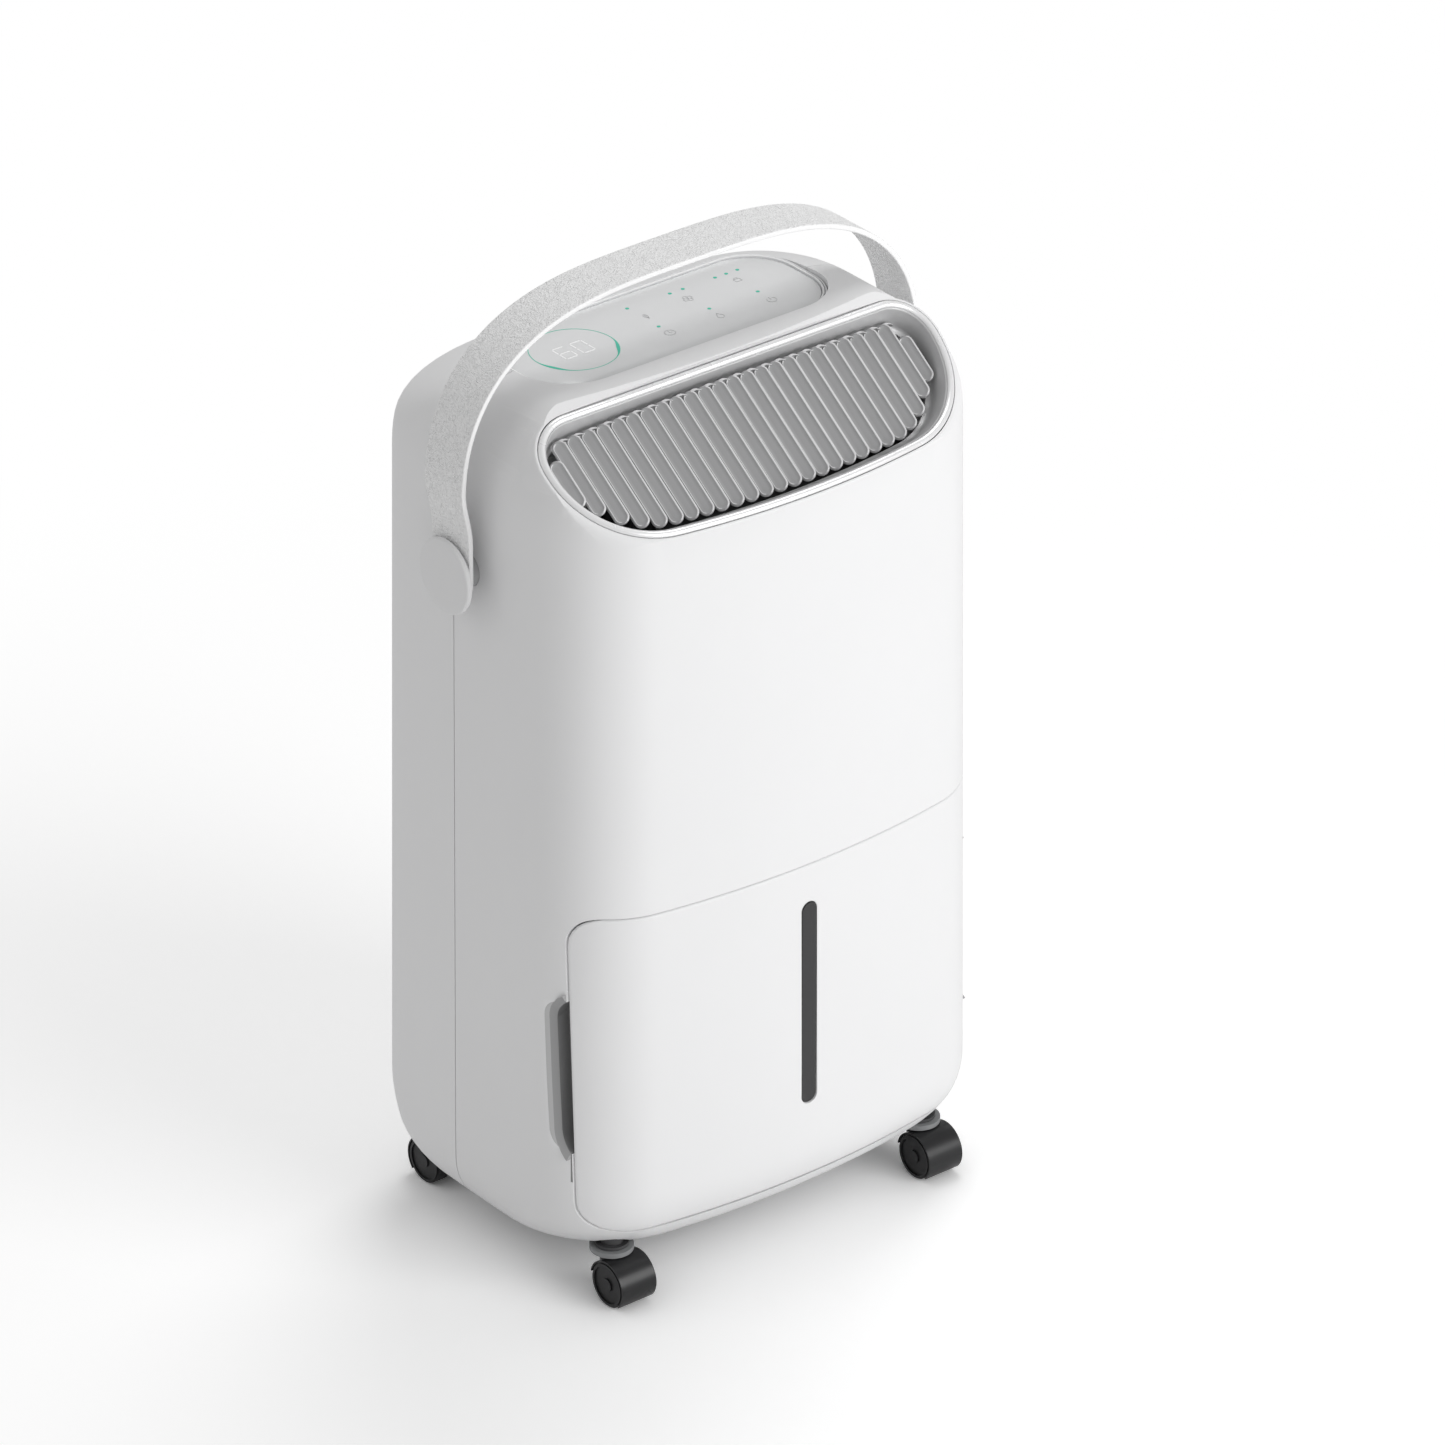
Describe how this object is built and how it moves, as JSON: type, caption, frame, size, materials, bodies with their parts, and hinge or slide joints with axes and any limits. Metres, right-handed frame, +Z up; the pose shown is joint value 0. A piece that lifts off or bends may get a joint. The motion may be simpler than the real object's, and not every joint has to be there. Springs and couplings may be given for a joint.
{
  "type": "dehumidifier",
  "caption": "Upright portable dehumidifier with a sloped louvred outlet, flat top touch panel, strap handle, slide-out front water tank, rear intake cassette and twin-wheel swivel casters.",
  "frame": {"origin": "centre of the footprint at floor level, under the casters", "axes": "+Z up; the front with the tank and louvres faces -Y, the intake faces +Y, +X is on the right of someone who looks at the front"},
  "size_m": [0.3338, 0.2268, 0.6066],
  "materials": {
    "shell_white": "fine satin moulded",
    "base_grey": "satin moulded",
    "socket_grey": "satin moulded",
    "inner_grey": "matt moulded",
    "ring_silver": "bright satin paint",
    "dish_grey": "satin paint",
    "slat_grey": "satin paint",
    "bezel_grey": "satin paint",
    "panel_face": "smooth satin film",
    "teal_light": "lit translucent",
    "white_light": "lit translucent",
    "board_green": "lacquered",
    "fin_aluminium": "plain",
    "copper_tube": "drawn tube",
    "can_black": "baked paint",
    "rubber_black": "matt",
    "motor_steel": "satin paint",
    "zinc_steel": "zinc plated",
    "capacitor_can": "drawn can",
    "small_black": "matt moulded",
    "hub_grey": "satin moulded",
    "fan_grey": "matt moulded",
    "strap_leather": "fine pebbled grain",
    "cap_grey": "satin paint",
    "tub_clear": "frosted",
    "window_dark": "smoked",
    "lid_white": "satin moulded",
    "float_foam": "closed-cell foam",
    "mesh_dark": "woven mesh",
    "caster_black": "satin moulded",
    "wheel_black": "satin moulded"
  },
  "bodies": {
    "housing": {"front_shell": "shell_white", "rear_shell": "shell_white", "base_plate": "base_grey", "caster_sockets": "socket_grey", "tank_bay": "inner_grey", "grille_ring": "ring_silver", "grille_dish": "dish_grey", "grille_slats": "slat_grey", "panel_bezel": "bezel_grey", "touch_panel": "panel_face", "display_ring": "teal_light", "display_digits": "white_light", "status_leds": "teal_light", "control_board": "board_green", "drip_tray": "inner_grey", "evaporator": "fin_aluminium", "condenser": "fin_aluminium", "coil_bends": "copper_tube", "compressor": "can_black", "accumulator": "can_black", "refrigerant_pipes": "copper_tube", "compressor_mounts": "rubber_black", "fan_scroll": "inner_grey", "fan_motor": "motor_steel", "motor_bracket": "zinc_steel", "outlet_duct": "inner_grey", "power_box": "base_grey", "run_capacitor": "capacitor_can", "tank_sensor": "small_black", "humidity_sensor": "shell_white", "drain_spout": "base_grey", "power_inlet": "base_grey", "handle_bushes": "hub_grey", "shell_screws": "zinc_steel"},
    "fan": {"fan_wheel": "fan_grey", "fan_shaft": "zinc_steel"},
    "handle": {"strap": "strap_leather", "strap_caps": "cap_grey", "pivot_pins": "zinc_steel"},
    "tank": {"tank_front": "shell_white", "tank_tub": "tub_clear", "tank_window": "window_dark", "tank_lid": "lid_white"},
    "float": {"float_arm": "small_black", "float_block": "float_foam"},
    "filter": {"intake_grille": "shell_white", "filter_mesh": "mesh_dark"},
    "drain_cap": {"drain_plug": "rubber_black"},
    "swivel_front_left": {"caster_front_left": "caster_black"},
    "roller_front_left": {"wheels_front_left": "wheel_black"},
    "swivel_front_right": {"caster_front_right": "caster_black"},
    "roller_front_right": {"wheels_front_right": "wheel_black"},
    "swivel_rear_left": {"caster_rear_left": "caster_black"},
    "roller_rear_left": {"wheels_rear_left": "wheel_black"},
    "swivel_rear_right": {"caster_rear_right": "caster_black"},
    "roller_rear_right": {"wheels_rear_right": "wheel_black"}
  },
  "joints": [
    {"name": "handle_swing", "type": "hinge", "parent": "housing", "child": "handle", "pos_m": [0, 0.0124, 0.451], "axis": [1, 0, 0], "range_deg": [-95, 95]},
    {"name": "tank_draw", "type": "slide", "parent": "housing", "child": "tank", "axis": [0, -1, 0], "range_m": [0, 0.15]},
    {"name": "float_lift", "type": "hinge", "parent": "tank", "child": "float", "pos_m": [0, 0.003, 0.232], "axis": [1, 0, 0], "range_deg": [-5, 10]},
    {"name": "fan_spin", "type": "hinge", "parent": "housing", "child": "fan", "pos_m": [0, 0.022, 0.372], "axis": [0, 1, 0], "continuous": true},
    {"name": "filter_draw", "type": "slide", "parent": "housing", "child": "filter", "axis": [0, 1, 0], "range_m": [0, 0.05]},
    {"name": "drain_cap_pull", "type": "slide", "parent": "housing", "child": "drain_cap", "axis": [0, 1, 0], "range_m": [0, 0.02]},
    {"name": "swivel_turn_front_left", "type": "hinge", "parent": "housing", "child": "swivel_front_left", "pos_m": [-0.115, -0.073, 0.03], "axis": [0, 0, 1], "continuous": true},
    {"name": "wheel_roll_front_left", "type": "hinge", "parent": "swivel_front_left", "child": "roller_front_left", "pos_m": [-0.115, -0.084, 0.014], "axis": [1, 0, 0], "continuous": true},
    {"name": "swivel_turn_front_right", "type": "hinge", "parent": "housing", "child": "swivel_front_right", "pos_m": [0.115, -0.073, 0.03], "axis": [0, 0, 1], "continuous": true},
    {"name": "wheel_roll_front_right", "type": "hinge", "parent": "swivel_front_right", "child": "roller_front_right", "pos_m": [0.115, -0.084, 0.014], "axis": [1, 0, 0], "continuous": true},
    {"name": "swivel_turn_rear_left", "type": "hinge", "parent": "housing", "child": "swivel_rear_left", "pos_m": [-0.115, 0.081, 0.03], "axis": [0, 0, 1], "continuous": true},
    {"name": "wheel_roll_rear_left", "type": "hinge", "parent": "swivel_rear_left", "child": "roller_rear_left", "pos_m": [-0.115, 0.092, 0.014], "axis": [1, 0, 0], "continuous": true},
    {"name": "swivel_turn_rear_right", "type": "hinge", "parent": "housing", "child": "swivel_rear_right", "pos_m": [0.115, 0.081, 0.03], "axis": [0, 0, 1], "continuous": true},
    {"name": "wheel_roll_rear_right", "type": "hinge", "parent": "swivel_rear_right", "child": "roller_rear_right", "pos_m": [0.115, 0.092, 0.014], "axis": [1, 0, 0], "continuous": true}
  ]
}
